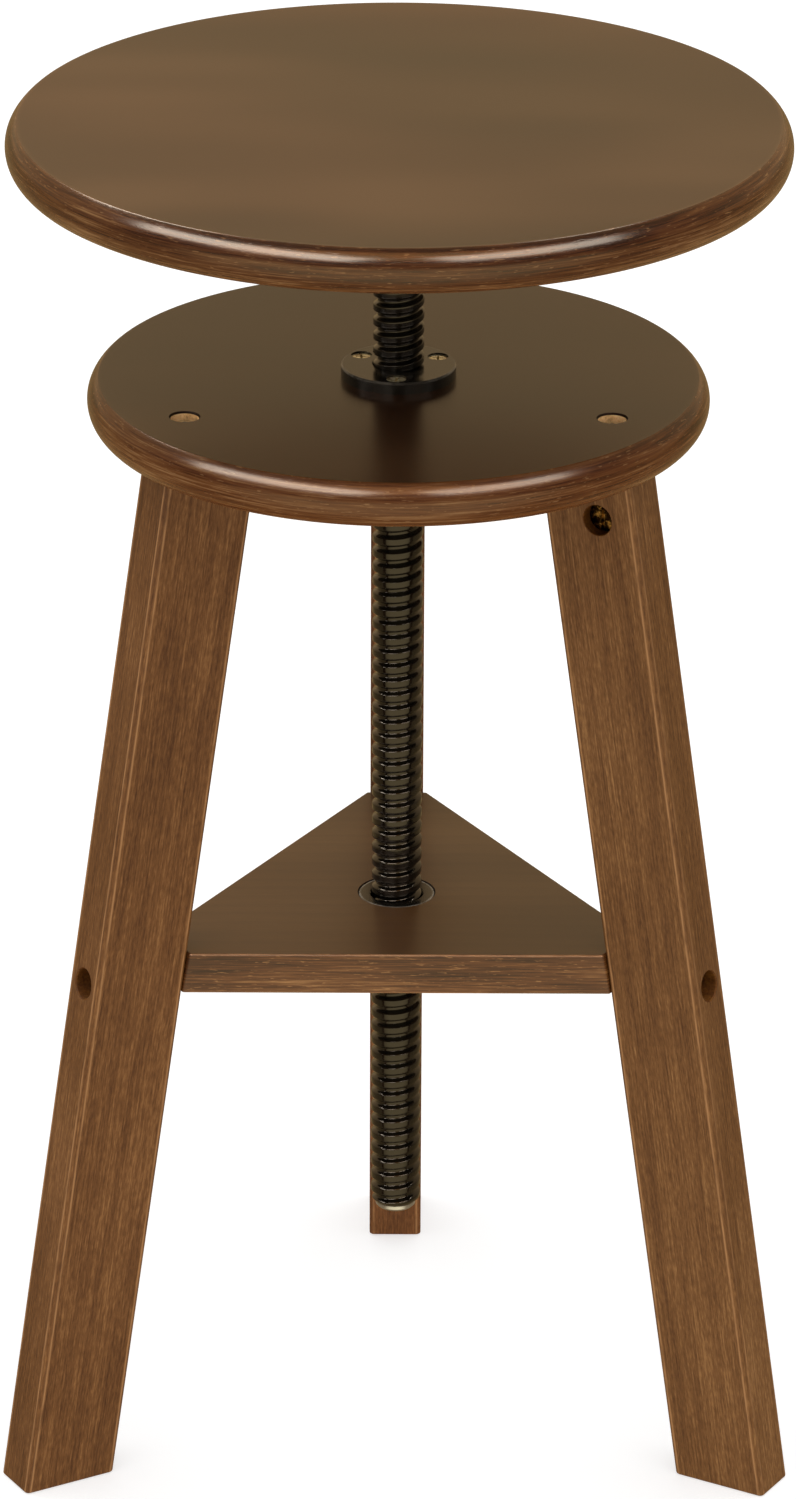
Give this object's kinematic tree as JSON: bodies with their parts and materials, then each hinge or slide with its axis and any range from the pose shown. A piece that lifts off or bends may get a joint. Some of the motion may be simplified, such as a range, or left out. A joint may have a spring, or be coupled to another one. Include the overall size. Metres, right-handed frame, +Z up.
{
  "type": "adjustable swivel stool",
  "caption": "Round wooden seat on a threaded steel screw, over a wooden stand with splayed plank legs, a round platform and a triangular shelf. Turning the seat raises or lowers it.",
  "frame": {"origin": "on the floor, on the lead screw's axis, midway between the three feet", "axes": "+Z up along the screw, +Y towards the rear leg, +X to the right when facing the stool from its two front legs"},
  "size_m": [0.3314, 0.3455, 0.5752],
  "materials": {
    "seat_wood": "walnut stain under satin lacquer",
    "platform_wood": "walnut stain under satin lacquer",
    "leg_wood": "walnut stain under satin lacquer, worn along the edges",
    "shelf_wood": "walnut stain under satin lacquer",
    "dowel_wood": "bare beech",
    "screw_steel": "gloss black oxide with oil",
    "black_iron": "semi-gloss black",
    "plate_steel": "satin black",
    "washer_nylon": "plain black nylon",
    "zinc_hardware": "yellow passivated zinc"
  },
  "bodies": {
    "base": {"platform": "platform_wood", "flange_nut": "black_iron", "shelf": "shelf_wood", "guide_bush": "black_iron", "flange_screw_1": "zinc_hardware", "flange_screw_2": "zinc_hardware", "flange_screw_3": "zinc_hardware", "leg_rear": "leg_wood", "leg_bolt_rear": "zinc_hardware", "leg_barrel_nut_rear": "zinc_hardware", "leg_dowel_rear": "dowel_wood", "shelf_bolt_rear": "zinc_hardware", "shelf_barrel_nut_rear": "zinc_hardware", "leg_left": "leg_wood", "leg_bolt_left": "zinc_hardware", "leg_barrel_nut_left": "zinc_hardware", "leg_dowel_left": "dowel_wood", "shelf_bolt_left": "zinc_hardware", "shelf_barrel_nut_left": "zinc_hardware", "leg_right": "leg_wood", "leg_bolt_right": "zinc_hardware", "leg_barrel_nut_right": "zinc_hardware", "leg_dowel_right": "dowel_wood", "shelf_bolt_right": "zinc_hardware", "shelf_barrel_nut_right": "zinc_hardware"},
    "washer": {"slip_washer": "washer_nylon"},
    "seat": {"seat": "seat_wood", "seat_plate": "plate_steel", "lead_screw": "screw_steel", "seat_plate_screw_1": "zinc_hardware", "seat_plate_screw_2": "zinc_hardware", "seat_plate_screw_3": "zinc_hardware", "seat_plate_screw_4": "zinc_hardware"}
  },
  "joints": [
    {"name": "seat_lift", "type": "slide", "parent": "base", "child": "washer", "axis": [0, 0, 1], "range_m": [-0.079, 0.125]},
    {"name": "seat_spin", "type": "hinge", "parent": "washer", "child": "seat", "pos_m": [0, 0, 0.5], "axis": [0, 0, 1], "range_deg": [-4478, 7086]}
  ],
  "couplings": [
    {"joint": "seat_lift", "follows": "seat_spin", "m_per_rad": 0.0010106}
  ]
}
